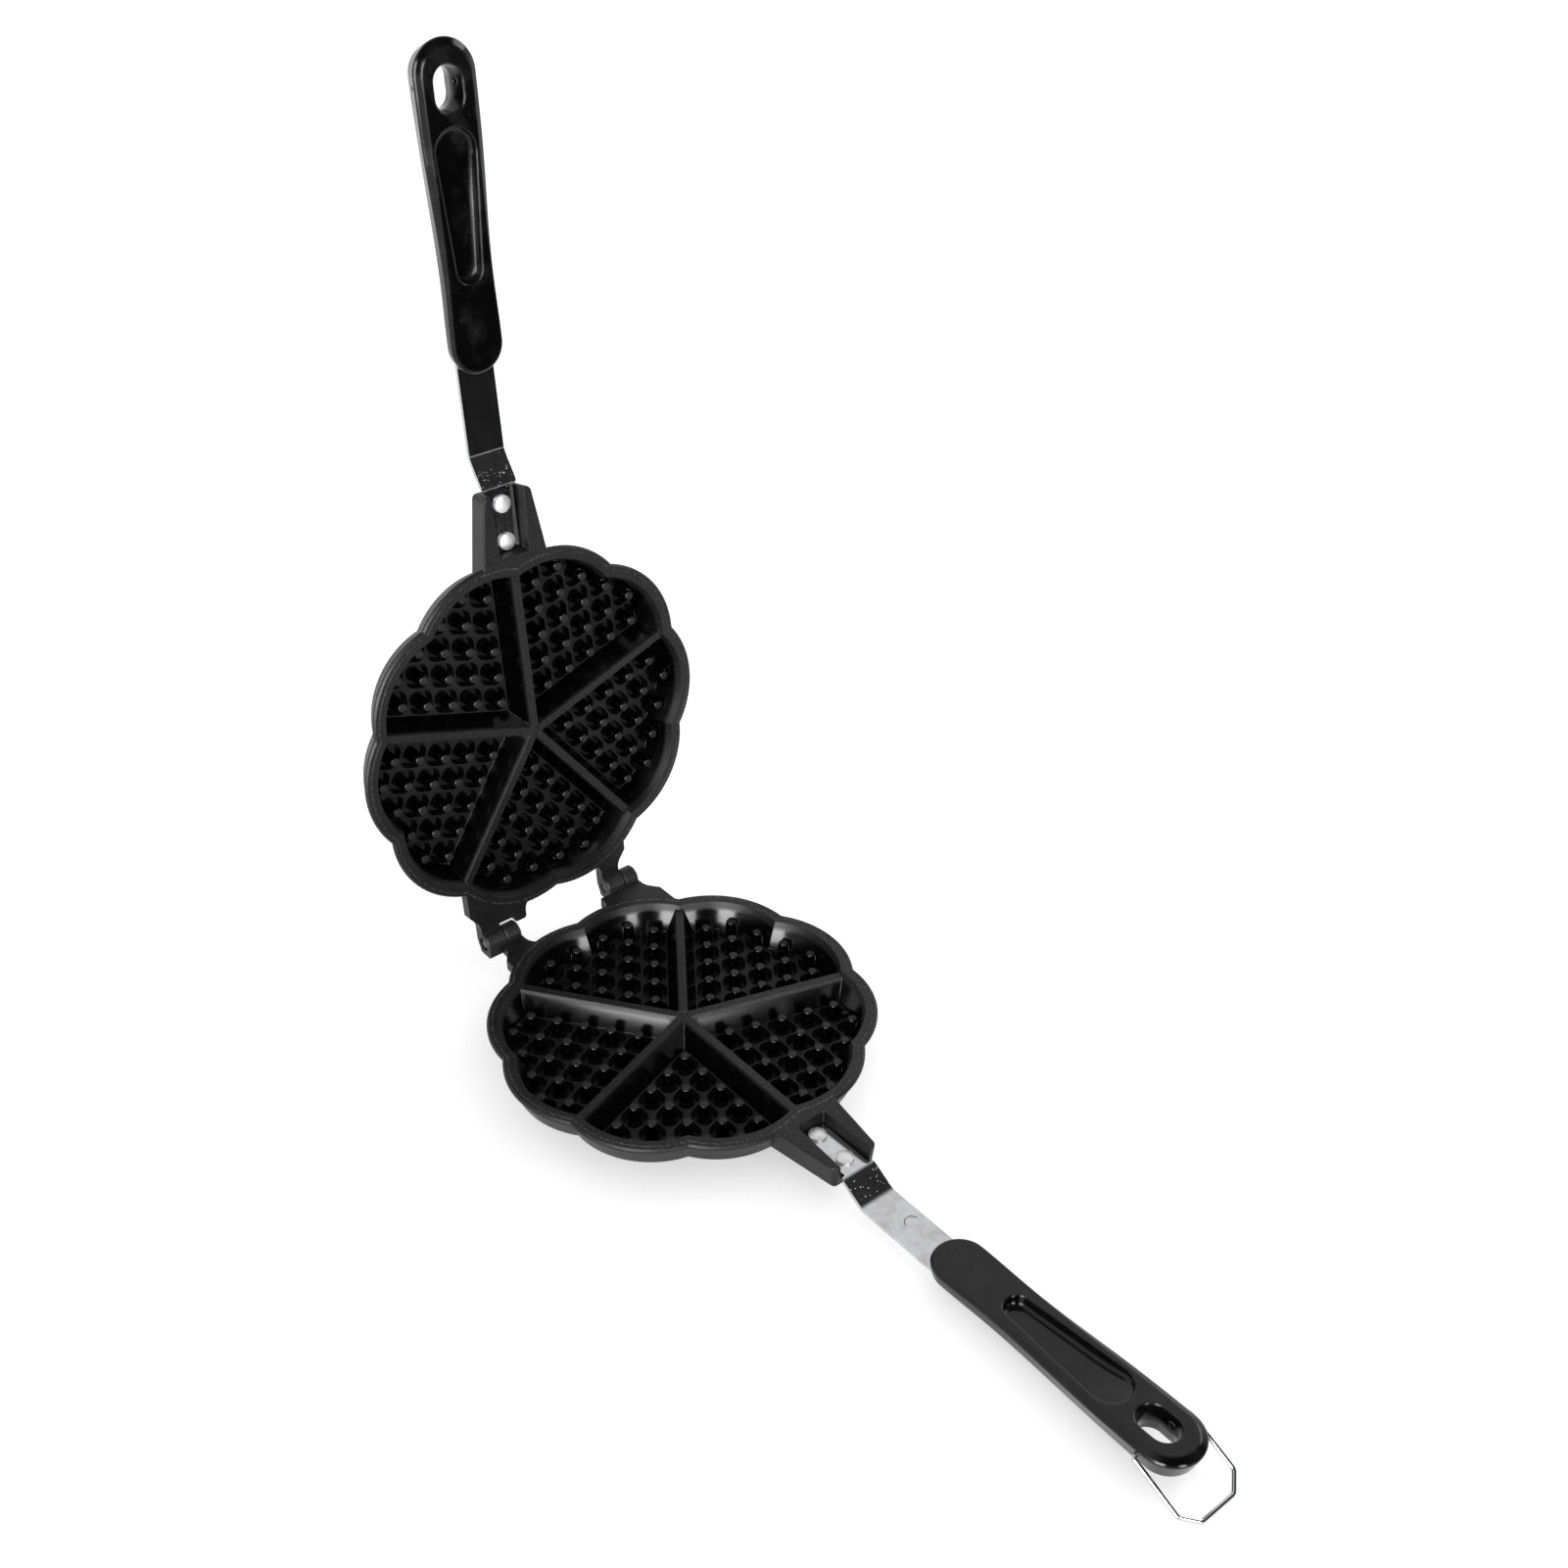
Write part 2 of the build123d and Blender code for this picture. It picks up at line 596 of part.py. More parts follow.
def latch_wire():
    """The wire loop, drawn along +X from its pivot and then hung down to just above the hob."""
    path = FilletPolyline(
        (0, -wire_end_half_gap), (0, -wire_half_width), (wire_leg_length, -wire_half_width),
        (wire_reach, -wire_bar_half_length), (wire_reach, wire_bar_half_length),
        (wire_leg_length, wire_half_width), (0, wire_half_width), (0, wire_end_half_gap),
        radius=[wire_bend_radius] + [wire_corner_radius] * 4 + [wire_bend_radius])
    loop = sweep((path ^ 0) * Circle(wire_radius), path=path)
    return Pos(wire_pivot_x, 0, -wire_pivot_depth) * Rot(0, wire_hang_angle, 0) * loop


os.makedirs("parts", exist_ok=True)
on_hob = Pos(0, 0, plate_height)
flip = Rot(180, 0, 0)
lower_casting, upper_casting = castings()
pieces = {"lower_plate": on_hob * lower_casting, "upper_plate": on_hob * opened(upper_casting)}
handle_pieces = {"strap": strap(), "grip": grip(), "grip_screw": grip_screw()}
for place, x in rivet_places.items():
    handle_pieces["rivet_" + place] = rivet(x)
for name, piece in handle_pieces.items():
    pieces["lower_" + name] = on_hob * piece
    pieces["upper_" + name] = on_hob * opened(flip * piece)
left_pin = (left_upper_knuckle[0] + pin_end_inset, left_lower_knuckle[1] - hinge_gap)
right_pin = (right_upper_knuckle[0] + pin_end_inset, right_lower_knuckle[1] - pin_end_inset)
pieces["hinge_pin_left"] = on_hob * hinge_pin(left_pin)
pieces["hinge_pin_right"] = on_hob * hinge_pin(right_pin)
pieces["latch_wire"] = on_hob * latch_wire()
for name, piece in pieces.items():
    export_step(piece, f"parts/{name}.step")
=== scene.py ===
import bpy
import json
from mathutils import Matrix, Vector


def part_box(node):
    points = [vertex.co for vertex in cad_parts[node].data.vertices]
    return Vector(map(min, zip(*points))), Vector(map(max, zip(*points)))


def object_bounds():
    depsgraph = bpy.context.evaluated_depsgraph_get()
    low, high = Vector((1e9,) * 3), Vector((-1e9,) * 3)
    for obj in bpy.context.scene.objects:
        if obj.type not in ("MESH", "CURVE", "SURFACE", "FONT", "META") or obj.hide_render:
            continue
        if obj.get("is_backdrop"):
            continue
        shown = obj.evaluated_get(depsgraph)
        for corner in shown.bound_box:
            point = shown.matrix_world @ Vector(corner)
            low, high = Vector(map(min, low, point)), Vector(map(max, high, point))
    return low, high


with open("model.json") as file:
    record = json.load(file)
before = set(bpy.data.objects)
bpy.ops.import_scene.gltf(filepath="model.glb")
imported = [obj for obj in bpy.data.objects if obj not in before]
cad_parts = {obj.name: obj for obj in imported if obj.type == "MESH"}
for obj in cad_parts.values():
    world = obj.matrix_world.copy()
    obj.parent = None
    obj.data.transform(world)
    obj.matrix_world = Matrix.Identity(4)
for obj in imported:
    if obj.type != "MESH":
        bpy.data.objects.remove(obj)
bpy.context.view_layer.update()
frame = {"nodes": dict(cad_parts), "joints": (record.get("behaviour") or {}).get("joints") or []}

import json
import math

import bpy
from mathutils import Matrix, Vector

# Looks of a stovetop waffle iron that stands open on a white table. The castings, straps, rivets,
# grips, pins, screws and the latch wire come from the frame, in metres, with +X towards the lower grip.

bl_info = {
    "name": "Stovetop waffle iron",
    "version": (1, 0, 0),
    "blender": (4, 5, 0),
    "location": "3D View > Sidebar > Waffle iron",
    "description": "Finishes the castings, straps, grips and latch of a waffle iron and lights it",
    "category": "Object",
}

MM = 0.001
HALVES = ("lower", "upper")

# The hinge lies in the mating plane, and the upper half stands open by its whole travel.
PLATE_HINGE = next(joint for joint in frame["joints"] if joint["name"] == "plate_hinge")
HINGE_AXIS = Vector(PLATE_HINGE["pos_m"])
OPEN_ANGLE = math.radians(PLATE_HINGE["range_deg"][1])
MATING_HEIGHT = HINGE_AXIS.z

# A cavity's outline is made of arcs whose centres stand on a ring. A groove follows it in the rim.
LOBE_COUNT = 10
LOBE_CENTRE = 46.13 * MM
LOBE_RADIUS = 39.77 * MM
GROOVE_OFFSET = 3.4 * MM

# Depths below the mating plane: the tops of the pegs, and the lands between the pits round the pegs.
PEG_TOP_DEPTH = 6.76 * MM
LAND_DEPTH = 13.4 * MM

# The turned ridges cover the knuckles up to one reach from the hinge axis and are gone at the other.
RIDGES_FULL = 5.75 * MM
RIDGES_GONE = 5.9 * MM
RIDGE_PITCH = 0.9 * MM

# The middle of a strap's sloping stretch, and the scratch beside the grip, as they lie when shut.
SLOPE_MIDDLE = 127 * MM
SCRATCH_CENTRE = (155.5 * MM, 3.0 * MM)
SCRATCH_RADIUS = 3.2 * MM

WHITE = (1, 1, 1, 1)
MATT = 0.9
SENSOR_WIDTH = 36

# The studio, in metres. The dark card lies on the table beyond the iron and only shows in gloss.
TABLE_SIDE = 30
SOFTBOX_PLACE, SOFTBOX_SIZE = (0.2, 1.6, 1.15), (0.9, 0.6)
LEFT_STRIP_PLACE, LEFT_STRIP_SIZE = (0.82, -1.5, 0.72), (0.75, 1.4)
RIGHT_STRIP_PLACE, RIGHT_STRIP_SIZE = (1.75, -0.3, 0.6), (0.45, 0.9)
CARD_PLACE, CARD_SIDE = (1.95, 1.8, 0.003), 3.2

# The room looks dark in gloss round this direction: fully within one angle, not at all past the other.
DARK_SIDE = (0.816, 0.071, 0.574)
DARK_WITHIN, BRIGHT_PAST = math.radians(50), math.radians(76)
DARK_STRENGTH = 0.03


def srgb(hex_colour):
    """A hex colour as written for a screen, as the linear colour that Blender mixes."""
    channels = [int(hex_colour[start:start + 2], 16) / 255 for start in (1, 3, 5)]
    return [c / 12.92 if c <= 0.04045 else ((c + 0.055) / 1.055) ** 2.4 for c in channels] + [1.0]


# ---------------------------------------------------------------- colours, camera and lamps


class IronFinishes(bpy.types.PropertyGroup):
    """Colours and gloss of the iron's surfaces"""
    coating: bpy.props.FloatVectorProperty(
        name="Coating", description="Non-stick coating on both castings",
        subtype="COLOR", size=4, min=0, max=1, default=srgb("#28282A"))
    coating_roughness: bpy.props.FloatProperty(
        name="Coating roughness", description="How matt the non-stick coating is",
        subtype="FACTOR", min=0, max=1, default=0.42)
    phenolic: bpy.props.FloatVectorProperty(
        name="Grip", description="Moulded phenolic of both grips",
        subtype="COLOR", size=4, min=0, max=1, default=srgb("#0C0C0D"))
    phenolic_roughness: bpy.props.FloatProperty(
        name="Grip roughness", description="How matt the moulded grips are",
        subtype="FACTOR", min=0, max=1, default=0.12)
    chrome: bpy.props.FloatVectorProperty(
        name="Strap", description="Chrome plating of the straps",
        subtype="COLOR", size=4, min=0, max=1, default=srgb("#C6C7C9"))
    pin_steel: bpy.props.FloatVectorProperty(
        name="Hinge pin", description="Oiled steel of the hinge pins",
        subtype="COLOR", size=4, min=0, max=1, default=srgb("#4A4A4C"))
    aluminium: bpy.props.FloatVectorProperty(
        name="Rivet", description="Bare aluminium of the rivets",
        subtype="COLOR", size=4, min=0, max=1, default=srgb("#E4E4E5"))
    steel: bpy.props.FloatVectorProperty(
        name="Screw and wire",
        description="Zinc plate of the grip screws and drawn steel of the latch wire",
        subtype="COLOR", size=4, min=0, max=1, default=srgb("#BFC0C2"))


class IronStudio(bpy.types.PropertyGroup):
    """Camera, table and lights"""
    camera_place: bpy.props.FloatVectorProperty(
        name="Camera place", description="Where the camera stands",
        subtype="TRANSLATION", unit="LENGTH", default=(0.5400, -0.3987, 0.6106))
    camera_turn: bpy.props.FloatVectorProperty(
        name="Camera turn", description="How the camera is turned",
        subtype="EULER", unit="ROTATION",
        default=[math.radians(angle) for angle in (55.71, -0.561, 50.008)])
    lens: bpy.props.FloatProperty(
        name="Lens", description="Focal length in millimetres", min=1, default=43.2)
    table: bpy.props.FloatVectorProperty(
        name="Table", description="White paper that the iron stands on",
        subtype="COLOR", size=4, min=0, max=1, default=srgb("#F6F6F6"))
    table_glow: bpy.props.FloatProperty(
        name="Table glow",
        description="Light added to the table where it is seen, so that it reads as white",
        min=0, default=0.5)
    sky_strength: bpy.props.FloatProperty(
        name="Room light", description="Light of the pale room all round", min=0, default=0.7)
    key_power: bpy.props.FloatProperty(
        name="Softbox power", description="Power of the large softbox", unit="POWER", min=0, default=7)
    left_strip_power: bpy.props.FloatProperty(
        name="Left strip power",
        description="Power of the tall softbox on the left, which only shows in gloss",
        unit="POWER", min=0, default=80)
    right_strip_power: bpy.props.FloatProperty(
        name="Right strip power",
        description="Power of the narrow softbox on the right, which only shows in gloss",
        unit="POWER", min=0, default=26)


# ---------------------------------------------------------------- building blocks


def add_node(tree, kind, inputs=None, **settings):
    """Adds a shader node, sets its properties, and fills or links its inputs by name or number.

    A node that is given as an input stands for its first output in use.
    """
    node = tree.nodes.new("ShaderNode" + kind)
    for key, value in settings.items():
        setattr(node, key, value)
    for key, value in (inputs or {}).items():
        if isinstance(value, bpy.types.Node):
            value = next(output for output in value.outputs if output.enabled)
        if isinstance(value, bpy.types.NodeSocket):
            tree.links.new(value, node.inputs[key])
        else:
            node.inputs[key].default_value = value
    return node


def new_material(name):
    """An empty material and its node tree."""
    material = bpy.data.materials.new(name)
    material.use_nodes = True
    material.node_tree.nodes.clear()
    return material, material.node_tree


def add_surface(tree, inputs):
    """Ends a material with a shader that has these inputs."""
    shader = add_node(tree, "BsdfPrincipled", inputs)
    add_node(tree, "OutputMaterial", {"Surface": shader})


def finish_node(node, material):
    """Gives a node of the frame its finish."""
    shown = frame["nodes"][node]
    for slot in shown.material_slots:
        slot.material = material


def distance_between(tree, first, second):
    """How far apart two numbers are."""
    difference = add_node(tree, "Math", {0: first, 1: second}, operation="SUBTRACT")
    return add_node(tree, "Math", {0: difference}, operation="ABSOLUTE")


def length_of(tree, across, along):
    """The length of a flat vector given by two numbers."""
    both = add_node(tree, "CombineXYZ", {"X": across, "Y": along})
    return add_node(tree, "VectorMath", {0: both}, operation="LENGTH")


def overlap(tree, first, *others):
    """1 only where every mask is 1: their product."""
    for other in others:
        first = add_node(tree, "Math", {0: first, 1: other}, operation="MULTIPLY")
    return first


def layered(tree, colour, *layers):
    """A colour with others laid over it, each given by its mask and itself."""
    for mask, over in layers:
        colour = add_node(tree, "Mix", {0: mask, 6: colour, 7: over}, data_type="RGBA")
    return colour


def along_half(tree, place, half):
    """Coordinates that run along X on either half: the upper half is turned back to where it closes."""
    if half == "lower":
        return place
    turned = (Matrix.Translation(HINGE_AXIS) @ Matrix.Rotation(OPEN_ANGLE, 4, "Y")
              @ Matrix.Translation(-HINGE_AXIS))
    return add_node(tree, "Mapping", {
        "Vector": place, "Location": turned.translation, "Rotation": (0, OPEN_ANGLE, 0)})


def facing(tree, half):
    """How squarely a surface of one half faces the other half: 1 straight at it, -1 away from it."""
    out = (0, 0, 1) if half == "lower" else (math.sin(OPEN_ANGLE), 0, -math.cos(OPEN_ANGLE))
    normal = add_node(tree, "TexCoord").outputs["Normal"]
    return add_node(tree, "VectorMath", {0: normal, 1: out}, operation="DOT_PRODUCT")


def edge_wear_and_sheen(tree, rounded):
    """1 along sharp edges and 0 on flat ground, from how far the rounded normal leans. It marks both rubbed
    wear and painted edge sheen.
    """
    flat = add_node(tree, "NewGeometry").outputs["Normal"]
    agree = add_node(tree, "VectorMath", {0: rounded, 1: flat}, operation="DOT_PRODUCT")
    return add_node(tree, "MapRange", {"Value": agree, "From Min": 0.985, "From Max": 0.9})


def lobe_offset(tree, place):
    """How far a point lies outside the scalloped outline of a cavity, in metres.

    It holds everywhere but in the very middle, which no lobe's arc goes round.
    """
    across, along = add_node(tree, "SeparateXYZ", {0: place}).outputs[:2]
    half_lobe = math.pi / LOBE_COUNT
    angle = add_node(tree, "Math", {0: along, 1: across}, operation="ARCTAN2")
    folded = add_node(tree, "Math", {0: angle, 1: half_lobe}, operation="PINGPONG")
    from_lobe = add_node(tree, "Math", {0: half_lobe, 1: folded}, operation="SUBTRACT")
    sine = add_node(tree, "Math", {0: from_lobe}, operation="SINE")
    cosine = add_node(tree, "Math", {0: from_lobe}, operation="COSINE")
    radius = length_of(tree, across, along)
    side = add_node(tree, "Math", {0: radius, 1: sine}, operation="MULTIPLY")
    out = add_node(tree, "Math", {0: radius, 1: cosine}, operation="MULTIPLY")
    past_centre = add_node(tree, "Math", {0: out, 1: LOBE_CENTRE}, operation="SUBTRACT")
    from_centre = length_of(tree, past_centre, side)
    return add_node(tree, "Math", {0: from_centre, 1: LOBE_RADIUS}, operation="SUBTRACT")


def barrel_ridges(tree, place):
    """Fine turned ridges round the knuckles, and nothing anywhere else."""
    across, along, up = add_node(tree, "SeparateXYZ", {0: place}).outputs
    beside_axis = add_node(tree, "Math", {0: across, 1: HINGE_AXIS.x}, operation="SUBTRACT")
    above_axis = add_node(tree, "Math", {0: up, 1: HINGE_AXIS.z}, operation="SUBTRACT")
    reach = length_of(tree, beside_axis, above_axis)
    on_barrel = add_node(tree, "MapRange", {
        "Value": reach, "From Min": RIDGES_GONE, "From Max": RIDGES_FULL})
    phase = add_node(tree, "Math", {0: along, 1: 2 * math.pi / RIDGE_PITCH}, operation="MULTIPLY")
    wave = add_node(tree, "Math", {0: phase}, operation="SINE")
    return overlap(tree, wave, on_barrel)


# ---------------------------------------------------------------- finishes


def pocket_mask(tree, depth, offset, towards):
    """1 inside the outline and below the rim, but never on the outside of a casting."""
    inside = add_node(tree, "MapRange", {
        "Value": offset, "From Min": 1.2 * MM, "From Max": -0.4 * MM})
    deep = add_node(tree, "MapRange", {"Value": depth, "From Min": 2.5 * MM, "From Max": 4.5 * MM})
    inner_side = add_node(tree, "MapRange", {"Value": towards, "From Min": -0.04, "From Max": 0})
    return overlap(tree, inside, deep, inner_side)


def peg_top_highlight_mask(tree, depth, squarely):
    """1 on the tops of the pegs where they face up, for a painted highlight."""
    from_peg_top = distance_between(tree, depth, PEG_TOP_DEPTH)
    at_peg_top = add_node(tree, "MapRange", {
        "Value": from_peg_top, "From Min": 0.6 * MM, "From Max": 0.2 * MM})
    return overlap(tree, at_peg_top, squarely)


def groove_glint_mask(tree, place, depth, offset):
    """1 in scattered spots along the groove of the rim, for painted glints."""
    # The size of the spots where pale glints are painted.
    grain_size = 0.75 * MM
    from_groove = distance_between(tree, offset, GROOVE_OFFSET)
    in_groove = add_node(tree, "MapRange", {
        "Value": from_groove, "From Min": 0.6 * MM, "From Max": 0.3 * MM})
    on_rim = add_node(tree, "MapRange", {"Value": depth, "From Min": 0.9 * MM, "From Max": 0.7 * MM})
    lumps = add_node(tree, "TexNoise", {"Vector": place, "Scale": 1 / grain_size, "Detail": 1})
    scattered = add_node(tree, "MapRange", {"Value": lumps, "From Min": 0.5, "From Max": 0.6})
    return overlap(tree, in_groove, on_rim, scattered)


def coating_material(finish, half):
    """Sprayed black PTFE over a grit-blasted aluminium casting.

    The mating faces and the outside are a satin, mottled charcoal with a fine pebble. The pockets are
    glossier, with painted shade: their walls, lands and pegs are a deeper black, and the bottoms of
    the pits are painted lighter against that shade. Peg tops that face up are paler, a painted
    highlight; edges are paler, partly rubbed wear and partly painted glints; and pale painted glints
    lie in scattered spots along the groove of the rim.
    """
    pebble_size, pebble_height = 0.6 * MM, 0.07 * MM
    mottle_size, wave_size = 1.1 * MM, 16 * MM
    ridge_height, edge_width = 0.06 * MM, 0.5 * MM
    rub_and_sheen_strength, pocket_smoothness = 0.6, 0.9
    # The second colour is painted shade on the walls, lands and pegs of the pockets; the third paints the
    # bottoms of the pits lighter against that shade.
    hollow, pocket_painted_shade, pit_painted_light = srgb("#0B0B0C"), srgb("#060606"), srgb("#1A1A1B")
    # The first colour is for edges, partly rubbed wear and partly painted edge glints; the second is a
    # painted highlight on the peg tops; the third is for painted glints in the groove of the rim.
    wear_and_sheen_grey, peg_top_highlight, groove_glint_grey = srgb("#3C3C3D"), srgb("#262627"), srgb("#636466")

    material, tree = new_material(f"ptfe_on_cast_aluminium_{half}")
    place = add_node(tree, "TexCoord").outputs["Object"]
    closed = along_half(tree, place, half)
    up = add_node(tree, "SeparateXYZ", {0: closed}).outputs["Z"]
    depth = distance_between(tree, up, MATING_HEIGHT)
    offset = lobe_offset(tree, closed)
    towards = facing(tree, half)
    squarely = add_node(tree, "MapRange", {"Value": towards, "From Min": 0.6, "From Max": 0.95})
    pebbles = add_node(tree, "TexNoise", {
        "Vector": place, "Scale": 1 / pebble_size, "Detail": 3, "Roughness": 0.6})
    mottle = add_node(tree, "TexNoise", {
        "Vector": place, "Scale": 1 / mottle_size, "Detail": 4, "Roughness": 0.65})
    waves = add_node(tree, "TexNoise", {"Vector": place, "Scale": 1 / wave_size, "Detail": 2})
    pocket = pocket_mask(tree, depth, offset, towards)

    rounded = add_node(tree, "Bevel", {"Radius": edge_width}, samples=4)
    unevenly = add_node(tree, "MapRange", {
        "Value": mottle, "From Min": 0.3, "From Max": 0.6, "To Min": 0.3, "To Max": 1})
    # Paler edges: partly rubbed wear and partly painted edge glints.
    rubbed_and_sheen = overlap(tree, edge_wear_and_sheen(tree, rounded), unevenly, rub_and_sheen_strength)
    blotches = add_node(tree, "MapRange", {"Value": mottle, "From Min": 0.38, "From Max": 0.62})
    in_pit = add_node(tree, "MapRange", {
        "Value": depth, "From Min": LAND_DEPTH - 0.2 * MM, "From Max": LAND_DEPTH + 1.5 * MM})
    outer_colour = layered(tree, hollow, (blotches, finish.coating))
    # Painted shade in the pockets, with the bottoms of the pits painted lighter against it.
    pocket_shading = layered(tree, pocket_painted_shade, (in_pit, pit_painted_light))
    # Over it go paler edges, a painted highlight on the peg tops that face up, and painted glints in the
    # groove of the rim.
    colour = layered(
        tree, outer_colour, (pocket, pocket_shading), (rubbed_and_sheen, wear_and_sheen_grey),
        (peg_top_highlight_mask(tree, depth, squarely), peg_top_highlight),
        (groove_glint_mask(tree, place, depth, offset), groove_glint_grey))

    satin = add_node(tree, "MapRange", {
        "Value": waves, "From Min": 0.35, "From Max": 0.65,
        "To Min": finish.coating_roughness - 0.03, "To Max": finish.coating_roughness + 0.05})
    in_pocket = add_node(tree, "MapRange", {"Value": squarely, "To Min": 0.15, "To Max": 0.55})
    gloss = add_node(tree, "Mix", {0: pocket, 2: satin, 3: in_pocket})

    less_in_pocket = add_node(
        tree, "Math", {0: 1, 1: overlap(tree, pocket, pocket_smoothness)}, operation="SUBTRACT")
    pebbled = add_node(tree, "Bump", {
        "Height": overlap(tree, pebbles, less_in_pocket), "Distance": pebble_height, "Normal": rounded})
    ridged = add_node(tree, "Bump", {
        "Height": barrel_ridges(tree, place), "Distance": ridge_height, "Strength": 0.8, "Normal": pebbled})
    add_surface(tree, {
        "Base Color": colour, "Roughness": gloss, "IOR": 1.38, "Specular IOR Level": 0.4, "Normal": ridged})
    return material


def phenolic_material(finish):
    """Compression-moulded black phenolic.

    Glossy jet black, with a slight moulded waviness in the reflections, cloudy patches where hands
    have dulled it, a few specks of dust, and a warmer brown along the edges, partly rubbed wear and
    partly a painted brownish reflection.
    """
    wave_size, wave_height = 22 * MM, 0.2 * MM
    cloud_size, dust_spacing, edge_width = 12 * MM, 6 * MM, 1.5 * MM
    cloud_dulling, rub_and_sheen_strength = 0.16, 0.5
    # The brown on the edges is partly rubbed wear and partly a painted brownish reflection.
    dulled, rubbed_brown_and_reflection, dust_grey = srgb("#1C1C1D"), srgb("#2C2622"), srgb("#4A4A4B")

    material, tree = new_material("black_phenolic")
    place = add_node(tree, "TexCoord").outputs["Object"]
    waves = add_node(tree, "TexNoise", {"Vector": place, "Scale": 1 / wave_size, "Detail": 1})
    patches = add_node(tree, "TexNoise", {
        "Vector": place, "Scale": 1 / cloud_size, "Detail": 4, "Roughness": 0.6})
    clouds = add_node(tree, "MapRange", {"Value": patches, "From Min": 0.5, "From Max": 0.72})
    cells = add_node(tree, "TexVoronoi", {"Vector": place, "Scale": 1 / dust_spacing})
    dust = add_node(tree, "MapRange", {"Value": cells, "From Min": 0.045, "From Max": 0.03})
    rounded = add_node(tree, "Bevel", {"Radius": edge_width}, samples=6)
    # Edges: partly rubbed wear and partly a painted brownish reflection.
    rubbed_and_sheen = overlap(tree, edge_wear_and_sheen(tree, rounded), rub_and_sheen_strength)
    colour = layered(
        tree, finish.phenolic, (clouds, dulled), (rubbed_and_sheen, rubbed_brown_and_reflection), (dust, dust_grey))
    gloss = add_node(tree, "Math", {
        0: finish.phenolic_roughness, 1: overlap(tree, clouds, cloud_dulling)}, operation="ADD")
    wavy = add_node(tree, "Bump", {
        "Height": waves, "Distance": wave_height, "Strength": 0.5, "Normal": rounded})
    add_surface(tree, {
        "Base Color": colour, "Roughness": gloss, "IOR": 1.5, "Specular IOR Level": 0.3, "Normal": wavy})
    return material


def dent_mask(tree, place, half):
    """1 in small round dents: most of them on a strap's slope, and few elsewhere."""
    cell_size, patch_size = 1.5 * MM, 5 * MM
    slope_reach, slope_gone = 6 * MM, 9 * MM
    on_slope, elsewhere = 0.2, 0.02 if half == "lower" else 0.04
    along = add_node(tree, "SeparateXYZ", {0: place}).outputs["X"]
    from_slope = distance_between(tree, along, SLOPE_MIDDLE)
    widest = add_node(tree, "MapRange", {
        "Value": from_slope, "From Min": slope_reach, "From Max": slope_gone,
        "To Min": on_slope, "To Max": elsewhere})
    lumps = add_node(tree, "TexNoise", {"Vector": place, "Scale": 1 / patch_size, "Detail": 3})
    patches = add_node(tree, "MapRange", {"Value": lumps, "From Min": 0.4, "From Max": 0.52})
    cells = add_node(tree, "TexVoronoi", {"Vector": place, "Scale": 1 / cell_size})
    inside = add_node(
        tree, "Math", {0: overlap(tree, widest, patches), 1: cells}, operation="SUBTRACT")
    return add_node(tree, "MapRange", {"Value": inside, "From Min": 0, "From Max": 0.08})


def scratch_mask(tree, place):
    """1 along a fine half circle, on its side nearer the plate, that wanders by about a millimetre."""
    wander_size, wander_share = 3 * MM, 0.0012
    line_edge, line_middle = 0.3 * MM, 0.12 * MM
    wander = add_node(tree, "TexNoise", {"Vector": place, "Scale": 1 / wander_size, "Detail": 2})
    bent = add_node(
        tree, "Mix", {0: wander_share, 4: place, 5: wander.outputs["Color"]}, data_type="VECTOR")
    from_centre = add_node(
        tree, "VectorMath", {0: bent, 1: (*SCRATCH_CENTRE, MATING_HEIGHT)}, operation="SUBTRACT")
    across, along = add_node(tree, "SeparateXYZ", {0: from_centre}).outputs[:2]
    from_ring = distance_between(tree, length_of(tree, across, along), SCRATCH_RADIUS)
    on_ring = add_node(tree, "MapRange", {
        "Value": from_ring, "From Min": line_edge, "From Max": line_middle})
    on_inner_half = add_node(tree, "MapRange", {
        "Value": across, "From Min": 0.2 * MM, "From Max": -0.4 * MM})
    return overlap(tree, on_ring, on_inner_half)


def strap_material(finish, half):
    """Chrome-plated steel strip.

    Mirror bright, with faint rolling lines along it, a sprinkle of small dents that catch the light
    in dark reflections, soft cloudy stains, and a fine curved scratch near the grip.
    """
    # Real rolling lines are finer. These are as coarse as they need to be to show.
    line_size, line_height, line_stretch = 0.5 * MM, 0.003 * MM, 50
    stain_size, dent_height = 7 * MM, 0.08 * MM
    stained, scratched = srgb("#B4B3B2"), srgb("#3A3836")

    material, tree = new_material(f"chromed_strip_{half}")
    place = add_node(tree, "TexCoord").outputs["Object"]
    closed = along_half(tree, place, half)
    stretched = add_node(tree, "Mapping", {"Vector": closed, "Scale": (1 / line_stretch, 1, 1)})
    lines = add_node(tree, "TexNoise", {"Vector": stretched, "Scale": 1 / line_size, "Detail": 3})
    patches = add_node(tree, "TexNoise", {
        "Vector": closed, "Scale": 1 / stain_size, "Detail": 4, "Roughness": 0.6})
    stains = add_node(tree, "MapRange", {"Value": patches, "From Min": 0.42, "From Max": 0.66})
    colour = layered(tree, finish.chrome, (stains, stained), (scratch_mask(tree, closed), scratched))
    gloss = add_node(tree, "MapRange", {
        "Value": lines, "From Min": 0.3, "From Max": 0.7, "To Min": 0.10, "To Max": 0.16})
    rolled = add_node(tree, "Bump", {"Height": lines, "Distance": line_height, "Strength": 0.5})
    dented = add_node(tree, "Bump", {
        "Height": dent_mask(tree, closed, half), "Distance": dent_height, "Normal": rolled})
    add_surface(tree, {"Base Color": colour, "Metallic": 1, "Roughness": gloss, "Normal": dented})
    return material


